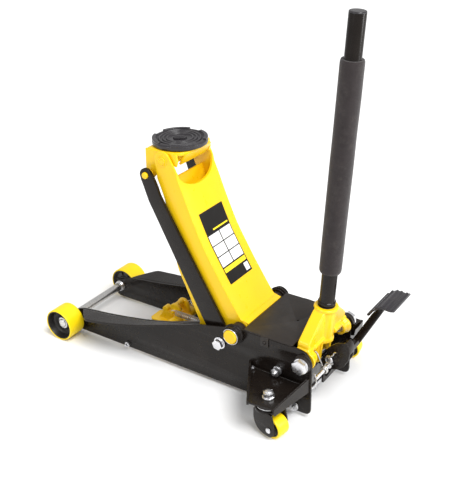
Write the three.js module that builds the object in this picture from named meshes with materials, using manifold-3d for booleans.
// Hydraulic trolley jack with foot pedal and pump handle, shown with its lift arm raised.
// Millimetres, +Z up, +X towards the front wheels, +Y towards the jack's left side.
// Numbers are measured from the front axle in x, the middle plane in y and the floor in z.
// The last lines move the jack so that its origin is under the middle of its bounding box.
// Pieces named _left and _right are built on the left and mirrored.
import * as THREE from 'three';
import { mergeVertices } from 'three/addons/utils/BufferGeometryUtils.js';
import Module from 'manifold-3d';

const wasm = await Module();
wasm.setup();
const { degToRad, radToDeg } = THREE.MathUtils;

// ---------------------------------------------------------------- driving dimensions
const ORIGIN_X = 370;            // from the bounding box's middle to the front axle
const GAP = 0.3;                 // between pieces that touch on the real jack
const WEB_IN = 87;               // side plate faces, either side of the middle
const WEB_OUT = 92;
const WEB_BOTTOM = 9;            // ground clearance of the side plates
const MOUNT = WEB_OUT + GAP;     // y where pieces on the side plates' outer faces start
const COVER_TOP = 168;

// Axes along y, as [x, z]
const AXLE = [0, 40];
const ARM_PIVOT = [-480, 150];
const ARM_TOP = [-290.5, 500];   // saddle pin at the top of the lift arm
const LINK_SHIFT = [38, -36];    // from each lift arm pin to the levelling links' pin
const LINK_LOW = [ARM_PIVOT[0] + LINK_SHIFT[0], ARM_PIVOT[1] + LINK_SHIFT[1]];
const LINK_TOP = [ARM_TOP[0] + LINK_SHIFT[0], ARM_TOP[1] + LINK_SHIFT[1]];
const RAM_PIN = [-270, 75];      // cross pin of the ram head
const LEVER_PIN = [-386, 116];   // where the ram links hold the lift arm
const SOCKET = [-651, 137];      // pump handle pivot
const ROLLER = [8.9, -31.7];     // pump roller, measured from the handle pivot
const PEDAL = [-674, 101];       // pedal shaft
const FRAME_BOLT = [-589.8, 97.3];
const TIE_ROD = [-630, 20];

// Axes along x, as [y, z]
const RAM = [0, 66];
const PLUNGER = [0, 106];
const SPRING = [26, 100];

const AXLE_R = 10.5;
const AXLE_BORE = AXLE_R + 0.3;
const WHEEL_R = 40;
const WHEEL_IN = 98.2;           // y of the front wheel treads' faces
const WHEEL_OUT = 147.5;
const RAM_R = 14;
const ARM_HALF = 69;             // half the lift arm's width
const ARM_WALL = 5;
const LINK_IN = 73.2;            // y of the levelling links' faces
const LINK_OUT = 81.2;
const PIVOT_R = 16;
const SADDLE_PIN_R = 9;
const LINK_PIN_R = 7.3;
const PAD_X = -288;
const PAD_R = 60.5;
const PAD_TOP = 534;
const SOCKET_LEAN = 3.86;        // degrees the handle leans back at rest
const TUBE_R = 16.5;
const TUBE_X = 6.2;              // tube centre, in front of the handle pivot
const TUBE_TOP = 697.6;          // tube and grip heights are above the handle pivot
const GRIP_R = 23.3;
const GRIP_BOTTOM = 173.4;
const GRIP_TOP = 614.4;
const SHELF_TOP = 84;
const SHELF_T = 5;
const CASTER = [-612, 169];      // caster stem, x and y
const CASTER_TURN = 10;          // degrees the casters are turned at rest
const CASTER_R = 23.5;
const CASTER_TRAIL = 20.5;
const CASTER_W = 32;

// ---------------------------------------------------------------- finishes
// Each mesh gets a material of its own.
const finish = (settings) => () => new THREE.MeshStandardMaterial(settings);
const yellow = finish({ color: 0xf3d322, roughness: 0.35, metalness: 0 });
const black = finish({ color: 0x231f1d, roughness: 0.32, metalness: 0.1 });
const steel = finish({ color: 0xc9ccd0, roughness: 0.3, metalness: 1 });
const darkSteel = finish({ color: 0x3a3838, roughness: 0.45, metalness: 0.7 });
const foam = finish({ color: 0x332d2e, roughness: 0.9, metalness: 0 });
const rubber = finish({ color: 0x26242a, roughness: 0.5, metalness: 0 });
const wheelYellow = finish({ color: 0xf7e11c, roughness: 0.45, metalness: 0 });

// ---------------------------------------------------------------- solids
function meshGeometry(points, triangles) {
  const geometry = new THREE.BufferGeometry();
  geometry.setAttribute('position', new THREE.BufferAttribute(Float32Array.from(points), 3));
  geometry.setIndex(Array.from(triangles));
  return geometry;
}
// Welds a geometry, drops its collapsed triangles and turns its faces outwards.
function clean(geometry) {
  if (geometry.userData.solid) return geometry;
  let welded = geometry.clone();
  welded.deleteAttribute('normal');
  welded.deleteAttribute('uv');
  welded = mergeVertices(welded, 1e-4);
  const points = welded.attributes.position.array;
  const index = welded.index.array;
  const triangles = [];
  for (let i = 0; i < index.length; i += 3) {
    const corners = Array.from(index.slice(i, i + 3));
    if (new Set(corners).size === 3) triangles.push(...corners);
  }
  const corner = (i) => new THREE.Vector3().fromArray(points, 3 * triangles[i]);
  let volume = 0;
  for (let i = 0; i < triangles.length; i += 3) {
    volume += corner(i).dot(corner(i + 1).cross(corner(i + 2)));
  }
  if (volume < 0) {
    for (let i = 0; i < triangles.length; i += 3) {
      [triangles[i], triangles[i + 1]] = [triangles[i + 1], triangles[i]];
    }
  }
  return meshGeometry(points, triangles);
}
function toSolid(geometry) {
  if (geometry.userData.solid) return geometry.userData.solid;
  const cleaned = clean(geometry);
  return new wasm.Manifold(new wasm.Mesh({
    numProp: 3,
    vertProperties: new Float32Array(cleaned.attributes.position.array),
    triVerts: new Uint32Array(cleaned.index.array),
  }));
}
// The solid is kept with its geometry, ready for the next operation.
function fromSolid(made) {
  const solid = made.asOriginal().simplify(0.01);
  const mesh = solid.getMesh();
  const geometry = meshGeometry(mesh.vertProperties, mesh.triVerts);
  geometry.userData.solid = solid;
  return geometry;
}
const join = (...parts) => fromSolid(parts.map(toSolid).reduce((a, b) => a.add(b)));
const cut = (body, ...tools) =>
  fromSolid(tools.map(toSolid).reduce((a, b) => a.subtract(b), toSolid(body)));
const common = (a, b) => fromSolid(toSolid(a).intersect(toSolid(b)));
const mirror = (geometry) => fromSolid(toSolid(geometry).mirror([0, 1, 0]));
const both = (geometry) => [geometry, mirror(geometry)];

// ---------------------------------------------------------------- outlines
const vectors = (points) => points.map((point) => new THREE.Vector2(...point));
const reversed = (points) => [...points].reverse();
const closed = (points) => [...points, points[0]];
// a turned profile's lower half, followed by its mirror image in y
const bothEnds = (half) => [...half, ...reversed(half).map(([radius, y]) => [radius, -y])];
function arc([x, y], radius, start, end, steps) {
  const points = [];
  for (let i = 0; i <= steps; i++) {
    const angle = degToRad(start + (end - start) * i / steps);
    points.push([x + radius * Math.cos(angle), y + radius * Math.sin(angle)]);
  }
  return points;
}
// holes are [centre, radius, facets]
function shape(points, holes = []) {
  const outline = vectors(points);
  if (THREE.ShapeUtils.isClockWise(outline)) outline.reverse();
  const result = new THREE.Shape(outline);
  result.holes = holes.map(([centre, radius, facets = 12]) =>
    new THREE.Path(vectors(arc(centre, radius, 0, -360, facets))));
  return result;
}

// ---------------------------------------------------------------- basic pieces
const extrude = (points, depth, holes) =>
  new THREE.ExtrudeGeometry(shape(points, holes), { depth, bevelEnabled: false });
// plateXZ takes a profile in x and z and spans y; plateXY and plateYZ are alike
const plateXZ = (points, from, to, holes) =>
  extrude(points, to - from, holes).rotateX(Math.PI / 2).translate(0, to, 0);
const plateXY = (points, from, to, holes) =>
  extrude(points, to - from, holes).translate(0, 0, from);
const axes = [[0, 1, 0], [0, 0, 1], [1, 0, 0]].map((axis) => new THREE.Vector3(...axis));
const plateYZ = (points, from, to) => extrude(points, to - from)
  .applyMatrix4(new THREE.Matrix4().makeBasis(...axes)).translate(from, 0, 0);

// round bars, named for the axis they lie along
const bar = (radius, length, facets) =>
  new THREE.CylinderGeometry(radius, radius, length, facets);
const rodX = ([y, z], radius, from, to, facets = 12) =>
  bar(radius, to - from, facets).rotateZ(Math.PI / 2).translate((from + to) / 2, y, z);
const rodY = ([x, z], radius, from, to, facets = 12) =>
  bar(radius, to - from, facets).translate(x, (from + to) / 2, z);
const rodZ = ([x, y], radius, from, to, facets = 12) =>
  bar(radius, to - from, facets).rotateX(Math.PI / 2).translate(x, y, (from + to) / 2);
// several rods on one axis along y; steps are [radius, from, to, facets]
const steppedY = (centre, steps) => join(...steps.map((step) => rodY(centre, ...step)));
const hexR = (flats) => flats / Math.sqrt(3);

// spans in x, y and z, each [low, high]
function block(...spans) {
  const size = spans.map(([low, high]) => high - low);
  const middle = spans.map(([low, high]) => (low + high) / 2);
  return new THREE.BoxGeometry(...size).translate(...middle);
}
// turned pieces; a profile is [radius, place along the axis]
const lathe = (profile, facets) => new THREE.LatheGeometry(vectors(profile), facets);
const turnedY = (profile, [x, z], facets = 16) => lathe(profile, facets).translate(x, 0, z);
const turnedZ = (profile, [x, y], facets = 16) =>
  lathe(profile, facets).rotateX(Math.PI / 2).translate(x, y, 0);
// a pin along y, narrowing from its body to its tips
function pin({ centre, radius, halfBody, tipRadius, halfLength, facets = 12 }) {
  const half = [[0, -halfLength], [tipRadius, -halfLength], [radius, -halfBody]];
  return turnedY(bothEnds(half), centre, facets);
}

const jack = new THREE.Group();
function add(name, geometry, material, parent = jack) {
  const cleaned = clean(geometry);
  const final = meshGeometry(cleaned.attributes.position.array, cleaned.index.array);
  final.computeVertexNormals();
  const mesh = new THREE.Mesh(final, material());
  mesh.name = name;
  parent.add(mesh);
}
function pair(name, geometry, material) {
  add(name + '_left', geometry, material);
  add(name + '_right', mirror(geometry), material);
}

// ---------------------------------------------------------------- side plates
// A flat web with an outward flange along its top edge, widest behind the front wheels
// and running out ahead of the arm pivot.
function sidePlates() {
  const nose = [[4, WEB_BOTTOM], [12, 13], [17, 24], [17.5, 40], [11, 51], [-4, 59], [-20, 67]];
  // top edge along the flange, rear to front
  const topEdge = [[-388, 141.5], [-346, 130.7], [-298, 119.3], [-262, 110], [-226, 101.7],
    [-189, 94.6], [-151, 88], [-113, 82.2], [-75, 77.5], [-35, 71.5]];
  const tail = [[-499, 164.7], [-636, 164.7], [-648, 162.5], [-659, 155], [-665.5, 144],
    [-668, 131], [-668, 22], [-666.5, 15.5], [-662, 10.8]];
  const outline = [[-655, WEB_BOTTOM], ...nose, ...reversed(topEdge), [-436, 153],
    ...arc(ARM_PIVOT, 22, 25, 137, 7), ...tail];
  const web = plateXZ(outline, WEB_IN, WEB_OUT, [[ARM_PIVOT, PIVOT_R + 0.5, 16],
    [LINK_LOW, 8.4], [AXLE, AXLE_BORE, 16], [SOCKET, 10.5], [FRAME_BOLT, 6.5], [TIE_ROD, 5.4]]);

  // the flange is a band under the top edge, tilted up outwards and trimmed to its plan
  const underside = reversed(topEdge.map(([x, z]) => [x, z - 4.5]));
  const band = plateXZ([...topEdge, ...underside], WEB_OUT - 0.5, 145);
  const place = band.attributes.position;
  for (let i = 0; i < place.count; i++) {
    if (place.getY(i) > 100) place.setZ(i, place.getZ(i) + 4.8);
  }
  const plan = [[-35.5, WEB_OUT - 1], [-35.5, 93], [-44, 104], [-80, 138], [-89, 142],
    [-140, 139], [-180, 133.5], [-220, 126], [-262, 117], [-300, 110], [-346, 100],
    [-385, 93.5], [-387.5, 91.5]];
  const flange = common(band, plateXY(plan, 40, 190));
  const boss = cut(rodY(AXLE, 17, WEB_OUT - 0.5, 97.6, 16), rodY(AXLE, AXLE_BORE, 80, 110, 16));
  pair('side_plate', join(web, flange, boss), black);
}
// cover over the pump, with a tab folded down over each side plate
function coverPlate() {
  const half = WEB_OUT - 0.2;
  const tabX = [-566, -547];
  const tabOut = WEB_OUT + 2.3;
  const thickness = [COVER_TOP - 3, COVER_TOP];
  const tab = join(block(tabX, [half - 1, tabOut], thickness),
    block(tabX, [MOUNT, tabOut], [144, COVER_TOP - 1]));
  const cover = join(block([-622, -502], [-half, half], thickness), ...both(tab));
  add('cover_plate', cut(cover, rodZ([-583, -1], 2.6, 150, 180)), black);
}
// boss around each end of the arm pivot pin
function pivotBosses() {
  const bore = PIVOT_R + 0.5;
  // radius, distance out from the side plate
  const steps = [[bore, 0], [24, 0], [24, 3], [21.5, 4], [21.5, 7.5], [20, 7.5], [20, 9.5],
    [21, 9.5], [21, 13.5], [19.4, 15], [bore, 15]];
  const profile = steps.map(([radius, out]) => [radius, MOUNT + out]);
  pair('pivot_boss', turnedY(closed(profile), ARM_PIVOT), black);
}

// ---------------------------------------------------------------- front axle and wheels
function frontAxle() {
  add('front_axle', pin({ centre: AXLE, radius: AXLE_R, halfBody: 133.5,
    tipRadius: 9, halfLength: 135, facets: 16 }), steel);
  const collar = [[AXLE_BORE, 79], [14.5, 79], [15.5, 80], [15.5, WEB_IN - GAP],
    [AXLE_BORE, WEB_IN - GAP]];
  pair('axle_collar', turnedY(closed(collar), AXLE), steel);
  const ring = [[AXLE_BORE, 130.4], [14.6, 130.4], [14.6, 132.6], [AXLE_BORE, 132.6]];
  pair('axle_ring', turnedY(closed(ring), AXLE), steel);
}
function frontWheels() {
  const bore = AXLE_R + 0.35;
  const tread = [[36.9, WHEEL_IN], [38.6, WHEEL_IN], [WHEEL_R, WHEEL_IN + 1.6],
    [WHEEL_R, WHEEL_OUT - 1.6], [38.6, WHEEL_OUT], [37.6, WHEEL_OUT], [36.9, WHEEL_OUT - 1]];
  const hub = [[bore, 100], [18, 100], [20, 104], [29.5, 106], [34.5, 99.5], [36.3, 99.5],
    [36.3, 145.5], [35.2, 145.5], [31, 130.5], [19.5, 126.5], [17.5, 129.8], [bore, 129.8]];
  pair('front_wheel_tread', turnedY(closed(tread), AXLE, 24), wheelYellow);
  pair('front_wheel_hub', turnedY(closed(hub), AXLE, 20), black);
}

// ---------------------------------------------------------------- rear casters
function casterBrackets() {
  const shelf = plateXY([[-516.6, MOUNT], [-581.6, 205.2], [-645.8, 199.5], [-665, MOUNT]],
    SHELF_TOP - SHELF_T, SHELF_TOP, [[CASTER, 6.4]]);
  // rear web: level along its lower edge, rising to the side plate on top, trimmed aslant
  const rear = cut(
    plateYZ([[MOUNT, 71], [199.5, 71], [199.5, SHELF_TOP], [MOUNT, 100.5]], -670, -630),
    plateXY([[-660, WEB_IN], [-640.6, 199.2], [-630, 199.2], [-600, 300], [-600, 60],
      [-658, 60]], 60, 120),
    plateXY([[-700, 60], [-671, 60], [-665, WEB_OUT], [-645.8, 199.6], [-640, 240],
      [-700, 240]], 60, 120));
  const front = plateXY([[-516.6, MOUNT], [-521, MOUNT], [-584.6, 203], [-581.6, 205.2]],
    74, SHELF_TOP + 4);
  const side = block([-664, -518], [MOUNT, WEB_OUT + 4.3], [74, 85]);
  pair('caster_bracket', join(shelf, rear, front, side), black);
  pair('caster_stem', join(rodZ(CASTER, 13, SHELF_TOP + GAP, SHELF_TOP + 3),
    rodZ(CASTER, hexR(21), SHELF_TOP + 3, SHELF_TOP + 14, 6),
    rodZ(CASTER, 6, 62, SHELF_TOP + 17)), steel);
}
// One caster, measured from its stem in a group that turns about it.
function caster(side, sign) {
  const swivel = new THREE.Group();
  swivel.position.set(CASTER[0], sign * CASTER[1], 0);
  swivel.rotation.z = -sign * degToRad(CASTER_TURN);
  jack.add(swivel);
  const stem = [0, 0];
  const axle = [-CASTER_TRAIL, CASTER_R];

  const leg = [[-26, 63], [21, 63], [21, 34], [18, 24], [12, 16], [2, 9.5], [-10, 7],
    [-25, 7.5], [-32, 13.5], [-34.5, 24], [-32, 44]];
  const crown = turnedZ([[0, 56], [26.5, 56], [27.5, 58], [27.5, 69], [24, 70], [24, 72],
    [26.5, 72], [26.5, 77], [25, 78.2], [0, 78.2]], stem);
  const fork = cut(
    join(crown, ...both(plateXZ(leg, 19, 23)), block([-26.5, 14], [-23, 23], [57, 62])),
    rodZ(stem, 6.4, 50, 90), rodY(axle, 5.3, -30, 30), rodZ(stem, 10, 50, 60.5));
  add('caster_fork_' + side, fork, black, swivel);

  const axleHalf = [[0, -26.3], [5, -26.3], [6.4, -25], [6.4, -23.3], [4.9, -23.3]];
  add('caster_axle_' + side, turnedY(bothEnds(axleHalf), axle, 12), steel, swivel);

  const face = -CASTER_W / 2;
  const wheelHalf = [[5.3, face - 1.5], [9, face - 1.5], [11, face + 3], [18.5, face + 3],
    [19.5, face], [22.3, face], [CASTER_R, face + 1.2]];
  add('caster_wheel_' + side, turnedY(closed(bothEnds(wheelHalf)), axle, 20),
    wheelYellow, swivel);
}

// ---------------------------------------------------------------- hydraulics
function hydraulics() {
  const [rear, front] = [-606, -510.3];
  const half = 60;
  const outline = [[rear, 30], [front, 30], [front, 104], [-530, 112], [-585, 112],
    [-590, 124], [rear, 124]];
  const envelope = join(block([rear, front], [-half, half], [30, 112]),
    block([rear, -580], [-21, 21], [100, 124]));
  const body = join(common(plateXZ(outline, -half, half), envelope),
    rodY(FRAME_BOLT, 14, -86.5, 86.5));
  add('hydraulic_body', cut(body, rodX(PLUNGER, 8.45, -620, -556),
    ...both(rodY(FRAME_BOLT, 5.3, 66, 90))), black);

  const ramBore = RAM_R + 0.4;
  add('main_cylinder', cut(rodX(RAM, 30, -510, -400.3, 16),
    rodX(RAM, ramBore, -503, -390, 16)), black);
  const nut = join(rodX(RAM, 33, -400, -390, 8), block([-398, -392], [-32, 32], [66, 96]),
    ...both(rodX(SPRING, 5, -398, -392)));
  add('gland_nut', cut(nut, rodX(RAM, ramBore, -410, -380, 16)), darkSteel);

  pair('frame_bolt', steppedY(FRAME_BOLT, [[5, 68, 97], [10.5, 96.8, 99.5],
    [hexR(17), 99, 108, 6], [6.5, 107.5, 113]]), steel);
  add('rear_tie_rod', join(rodY(TIE_ROD, 5, -103, 103),
    ...both(rodY(TIE_ROD, hexR(16), MOUNT, 99, 6))), steel);
}
function ram() {
  add('ram_rod', rodX(RAM, RAM_R, -404, -270.5, 16), steel);
  const gusset = [[-258, 58], [-200, 58], [-212, 72], [-217, 84], [-231, 86], [-243, 74]];
  const horn = [[-284, 72], [-276, 112], [-268, 118], [-254, 117], [-246, 106],
    [-256, 100], [-263, 76]];
  const bridge = [[-274, 106], [-268, 117], [-254, 116], [-248, 107]];
  const head = join(rodX(RAM, 20, -290, -255),
    rodY(RAM_PIN, 14, -46, 46), rodY(RAM_PIN, 8.4, -58, 58),
    block([-262, -186], [-23, 23], [54, 60]), plateXZ(gusset, -8, 8),
    rodY([-224, 86], 8, -9, 9), ...both(plateXZ(horn, 11.5, 19.5)),
    plateXZ(bridge, -14, 14), rodY([-262, 100], 4, -31, 31));
  add('ram_head', cut(head, rodX(RAM, RAM_R + GAP, -300, -270, 16)), yellow);
}
// flat links from the ram head to the lift arm
function ramLinks() {
  const run = LEVER_PIN[0] - RAM_PIN[0];
  const rise = LEVER_PIN[1] - RAM_PIN[1];
  const slope = radToDeg(Math.atan2(rise, run));
  const outline = [...arc(RAM_PIN, 14, slope + 90, slope + 270, 10),
    ...arc(LEVER_PIN, 13, slope - 90, slope + 90, 10)];
  pair('ram_link', plateXZ(outline, 48, 56, [[RAM_PIN, 9], [LEVER_PIN, 8.4]]), steel);
}
// the springs are plain cylinders
function returnSprings() {
  pair('return_spring', rodX(SPRING, 6, -389.5, -266.5), steel);
}

// ---------------------------------------------------------------- lift arm
// edges of the arm's walls, x and z: the rear one upwards, the front one downwards
const ARM_BACK = [[-488.6, 170.5], [-480, 176.1], [-455, 213.3], [-431, 250.5], [-408.5, 288],
  [-387, 325.5], [-369.5, 363.4], [-353.5, 401.6], [-338.5, 439.4], [-329, 462],
  [-325.5, 478], [-319, 492]];
const ARM_FRONT = [[-274.5, 457], [-291.5, 411], [-305, 340], [-316, 261], [-340, 204],
  [-372, 133]];

// sheet across the arm's rear edge, with a half-round notch at its top
function armSheet() {
  const spine = [[-496.4, 164.2], ...ARM_BACK.slice(0, -1)];
  const inner = spine.map(([x, z], i) => {
    const before = spine[Math.max(0, i - 1)];
    const after = spine[Math.min(spine.length - 1, i + 1)];
    const run = after[0] - before[0];
    const rise = after[1] - before[1];
    const length = Math.hypot(run, rise);
    return [x + ARM_WALL * rise / length, z - ARM_WALL * run / length];
  });
  const sheet = plateXZ([...spine, ...reversed(inner)], -ARM_HALF + 0.5, ARM_HALF - 0.5);
  const bowl = arc([0, 0], 1, 180, 360, 18).map(([y, z]) => [62.5 * y, 472 + 42 * z]);
  const notch = [[-63.8, 500], [-63.8, 474], ...bowl, [63.8, 474], [63.8, 500]];
  return cut(sheet, plateYZ(notch, -345, -300));
}
function liftArm() {
  const outline = [...ARM_BACK, ...arc(ARM_TOP, 21, 160, -20, 12), ...ARM_FRONT,
    ...arc(LEVER_PIN, 17, -10, -110, 6), [-440, 119], ...arc(ARM_PIVOT, 22, 290, 125, 11)];
  const wall = plateXZ(outline, ARM_HALF - ARM_WALL, ARM_HALF,
    [[ARM_PIVOT, PIVOT_R + 0.3, 16], [ARM_TOP, SADDLE_PIN_R + 0.3]]);
  const crossWeb = plateXZ([[-293, 453], [-298, 453], [-316, 395], [-326, 330], [-321, 330],
    [-311, 394]], -ARM_HALF + 0.5, ARM_HALF - 0.5);
  const hub = cut(rodY(ARM_PIVOT, 22, 50, ARM_HALF - 1, 16),
    rodY(ARM_PIVOT, PIVOT_R + 0.3, 40, 70, 16));
  const leverPin = rodY(LEVER_PIN, 8, 57, ARM_HALF - 1);
  add('lift_arm', join(...both(wall), armSheet(), crossWeb, ...both(hub), ...both(leverPin)),
    yellow);
}
function armPins() {
  add('main_pivot_pin', pin({ centre: ARM_PIVOT, radius: PIVOT_R, halfBody: 110,
    tipRadius: 13.5, halfLength: 112, facets: 16 }), yellow);
  add('saddle_pin', pin({ centre: ARM_TOP, radius: SADDLE_PIN_R, halfBody: 71,
    tipRadius: 7.5, halfLength: 72.6 }), yellow);
}

// ---------------------------------------------------------------- levelling links
function levellingLinks() {
  const front = [[-239.5, 452], [-245.5, 437], [-251.7, 419.7], [-258.5, 402.4],
    [-267.5, 385.6], [-384.8, 161.3], [-417, 100]];
  const rear = [[-465, 120], [-305, 393], [-296, 409.5], [-287, 426], [-281, 443], [-273, 460]];
  const outline = [...arc(LINK_TOP, 15.5, 150, -25, 12), ...front,
    ...arc(LINK_LOW, 24, -40, -170, 9), ...rear];
  pair('levelling_link', plateXZ(outline, LINK_IN, LINK_OUT,
    [[LINK_LOW, 8.4], [LINK_TOP, LINK_PIN_R + 0.4]]), black);
  pair('link_bolt', steppedY(LINK_LOW, [[8, 70.6, 93], [14.5, MOUNT, WEB_OUT + 3.5, 16],
    [hexR(22), WEB_OUT + 3, WEB_OUT + 13.5, 6]]), steel);
}

// ---------------------------------------------------------------- saddle
function saddleBracket() {
  const top = plateXY([[-246, 62], [-246, -62], [-322, -62], [-340, -46], [-340, 46],
    [-322, 62]], 513, 519);
  const cheek = [[-243, 516], [-240.5, 468], ...arc(LINK_TOP, 14, 10, -110, 8), [-275, 470],
    ...arc(ARM_TOP, 16, -110, -160, 4), [-321, 489], [-330, 500], [-333, 516]];
  const flank = plateXZ(cheek, 56.5, 62,
    [[ARM_TOP, SADDLE_PIN_R + 0.35], [LINK_TOP, LINK_PIN_R + 0.35]]);
  const rear = plateXZ([[-321, 489], [-316, 490.5], [-333, 516], [-338.5, 516]], -58, 58);
  const front = plateXZ([[-246, 492], [-241.5, 492], [-243, 516], [-247.5, 516]], -58, 58);
  const seat = rodZ([PAD_X, 0], 27, 510, 515);
  add('saddle_bracket', cut(join(top, ...both(flank), rear, front, seat),
    rodZ([PAD_X, 0], 12.7, 500, 530)), yellow);
  add('link_top_pin', pin({ centre: LINK_TOP, radius: LINK_PIN_R, halfBody: 84.5,
    tipRadius: 6, halfLength: 85.6 }), yellow);
}
// disc with a raised rim, on a short stem in the bracket
function saddlePad() {
  const underside = 519.3;
  const profile = [[0, 510.5], [11, 510.5], [12, 511.5], [12, underside],
    [PAD_R - 1.5, underside], [PAD_R, underside + 1.5], [PAD_R, PAD_TOP - 4],
    [PAD_R - 4, PAD_TOP], [46, PAD_TOP], [44, PAD_TOP - 4], [0, PAD_TOP - 4]];
  add('saddle_pad', turnedZ(profile, [PAD_X, 0], 24), rubber);
}

// ---------------------------------------------------------------- pump handle
// The handle is measured from its pivot, in a group that leans back about it.
const socket = new THREE.Group();
const PIVOT = [0, 0];
const TUBE = [TUBE_X, 0];

function handleSocket() {
  const half = 82;
  const front = 24;
  const face = [[-25, 86], [-half, 37], [-half, -10], [half, -10], [half, 37], [25, 86]];
  const recess = [[-20, 78], [-64, 38], [-64, 26], [64, 26], [64, 38], [20, 78]];
  const shell = cut(plateYZ(face, -3, front), block([-60, 60], [-68, 68], [-40, 13]),
    plateYZ(recess, 15, front + 2));
  const sleeve = turnedZ([[0, 7], [21.8, 7], [22.8, 9], [22.8, 15], [21, 17], [21, 60],
    [22.5, 84], [26.5, 86], [26.5, 90], [24.5, 92], [0, 92]], TUBE);
  const pivotHub = turnedY([[0, 61.5], [15, 61.5], [15.5, 68], [20.5, half], [0, half]], PIVOT);
  const [x, z] = ROLLER;
  const lug = join(plateXZ([[-8, 16], [20, 16], [x + 12, z], [x - 12, z]], 17, 24),
    rodY(ROLLER, 12, 17, 24));
  add('handle_socket', cut(join(shell, sleeve, ...both(pivotHub), ...both(lug)),
    rodZ(TUBE, TUBE_R + 0.4, 27, 100, 16), ...both(rodY(PIVOT, 10.4, 60, 90)),
    rodY(ROLLER, 5.3, -30, 30),
    ...both(block([-60, 60], [half + 0.01, 100], [-60, 100]))), yellow, socket);
  add('pump_roller', steppedY(ROLLER, [[10, -15.5, 15.5], [5, -24.5, 24.5]]), steel, socket);
}
function handleTube() {
  const tube = [[14, 29], [TUBE_R, 29], [TUBE_R, 96], [TUBE_R + 1.6, 97], [TUBE_R + 1.6, 103],
    [TUBE_R, 104], [TUBE_R, TUBE_TOP], [14, TUBE_TOP]];
  add('handle_tube', turnedZ(closed(tube), TUBE), black, socket);
  const bore = TUBE_R + 0.3;
  const grip = [[bore, GRIP_BOTTOM], [GRIP_R - 1.5, GRIP_BOTTOM], [GRIP_R, GRIP_BOTTOM + 2],
    [GRIP_R, GRIP_TOP - 2], [GRIP_R - 1.5, GRIP_TOP], [bore, GRIP_TOP]];
  add('handle_grip', turnedZ(closed(grip), TUBE), foam, socket);
  const plug = [[0, TUBE_TOP - 22], [13.7, TUBE_TOP - 22], [13.7, TUBE_TOP + GAP],
    [TUBE_R, TUBE_TOP + GAP], [TUBE_R, TUBE_TOP + 2], [TUBE_R - 2, TUBE_TOP + 3.6],
    [0, TUBE_TOP + 3.6]];
  add('handle_plug', turnedZ(plug, TUBE, 12), rubber, socket);
}
function pumpHandle() {
  socket.position.set(SOCKET[0], 0, SOCKET[1]);
  socket.rotation.y = -degToRad(SOCKET_LEAN);
  jack.add(socket);
  handleSocket();
  handleTube();
  pair('socket_bolt', steppedY(SOCKET, [[10, 66.2, 93], [7, 58, 67],
    [19, MOUNT, WEB_OUT + 3.5, 16], [17, WEB_OUT + 3, WEB_OUT + 7, 16],
    [hexR(30), WEB_OUT + 6.5, WEB_OUT + 25, 6]]), steel);
  add('pump_plunger', rodX(PLUNGER, 8, -629.4, -590), steel);
}

// ---------------------------------------------------------------- foot pedal
const [PEDAL_X, PEDAL_Z] = PEDAL;

function pedalBracket() {
  const outline = [[-663, 66], [-663, 104], [PEDAL_X, PEDAL_Z + 12],
    [PEDAL_X - 8, PEDAL_Z - 9], [-668, 66]];
  const ear = (from, to) => join(plateXZ(outline, from, to), rodY(PEDAL, 12, from, to));
  const back = block([-663.5, -659], [-WEB_IN + GAP, 28], [52, 104]);
  add('pedal_bracket', cut(join(back, ear(14, 19), ear(-64, -59)),
    rodY(PEDAL, 5.35, -90, 90)), black);
  add('pedal_shaft', turnedY([[0, -68], [5, -68], [5, 24.5], [7, 24.5], [7, 28], [4, 28],
    [4, 84], [0, 84]], PEDAL, 12), steel);
}
// torsion spring: two turns round the shaft's end, with a leg at each end
function pedalSpring() {
  const points = [[-656, 47, 139], [-666, 44, 113]];
  for (let i = 0; i <= 14; i++) {
    const angle = degToRad(35 - 51.4 * i);
    points.push([PEDAL_X + 7.4 * Math.cos(angle), 42 + 8 * i / 14,
      PEDAL_Z + 7.4 * Math.sin(angle)]);
  }
  points.push([PEDAL_X - 2, 52, PEDAL_Z + 14], [PEDAL_X - 8, 53, PEDAL_Z + 24]);
  const path = new THREE.CatmullRomCurve3(points.map((point) => new THREE.Vector3(...point)));
  const wire = shape(arc([0, 0], 1.5, 45, 315, 3));
  add('pedal_spring', new THREE.ExtrudeGeometry(wire,
    { steps: 40, bevelEnabled: false, extrudePath: path }), steel);
}
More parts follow.
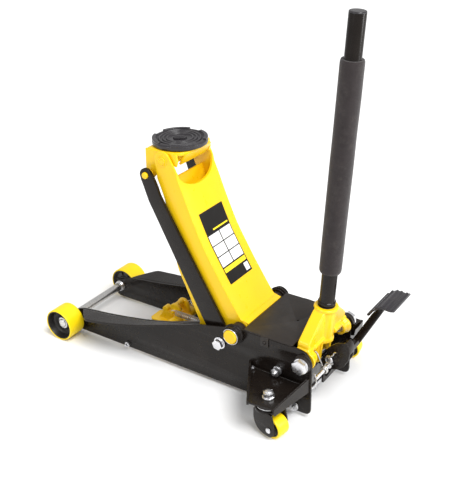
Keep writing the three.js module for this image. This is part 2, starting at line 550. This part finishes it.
// tube on the shaft, two cheeks joined by a rear web, a cross bar, and a flat arm to the pad
function pedalLever() {
  const arm = plateXZ([[PEDAL_X - 3, PEDAL_Z - 10], [-694.6, 102.5], [-748.3, 206.1],
    [-745, 212], [-740, 213.6], [-733.5, 207.5], [-725, 196.5], [-680, 112.5]], -80, -66);
  const rear = [[-717, 158], [-720, 144], [-718, 127], [-708, 108], [-694, 96],
    [-682, 91.5], [-670, 91], [-667.5, 100]];
  const left = plateXZ([[-667.5, 138], [-676, 148.5], [-690, 160], [-711, 166], ...rear], 20, 24);
  const right = plateXZ([[-667.5, 123], [-676, 131.5], [-690, 145], [-704, 158],
    [-711.5, 165], ...rear], 0, 4);
  const web = plateXZ([[-711, 166], [-717, 158], [-720, 144], [-719.3, 139], [-715.2, 139],
    [-716, 144], [-713.3, 156.3], [-708.4, 162.6]], 0, 24);
  const body = join(left, right, web, arm, rodY(PEDAL, 9, -57, 13.4),
    rodY(PEDAL, 10, -80, -65), block([-700, -688], [-68, 2], [110, 124]));
  add('pedal_lever', join(cut(body, rodY(PEDAL, 5.4, -90, 40)),
    rodY([PEDAL_X - 3, PEDAL_Z + 14.5], 7, 23.5, 30)), black);
}
function pedalPad() {
  const outline = [[-721.5, 200.8], [-724, 203], [-731.5, 214], [-741.5, 222.6],
    [-750.5, 226], [-760, 226.2], [-770, 225.4], [-779.5, 227.8], [-780, 224.4],
    [-770, 221.6], [-750.5, 221.8], [-743, 218.4], [-735, 212], [-727, 201.4],
    [-724.5, 198.4]];
  const lift = 0.6;
  add('pedal_pad', plateXZ(outline, -137, -50).translate(0, 0, lift), rubber);
}

// ---------------------------------------------------------------- assembly
sidePlates();
coverPlate();
pivotBosses();
frontAxle();
frontWheels();
casterBrackets();
caster('left', 1);
caster('right', -1);
hydraulics();
ram();
ramLinks();
returnSprings();
liftArm();
armPins();
levellingLinks();
saddleBracket();
saddlePad();
pumpHandle();
pedalBracket();
pedalSpring();
pedalLever();
pedalPad();

jack.position.set(ORIGIN_X, 0, 0);
const scene = new THREE.Group();
scene.add(jack);
export default scene;
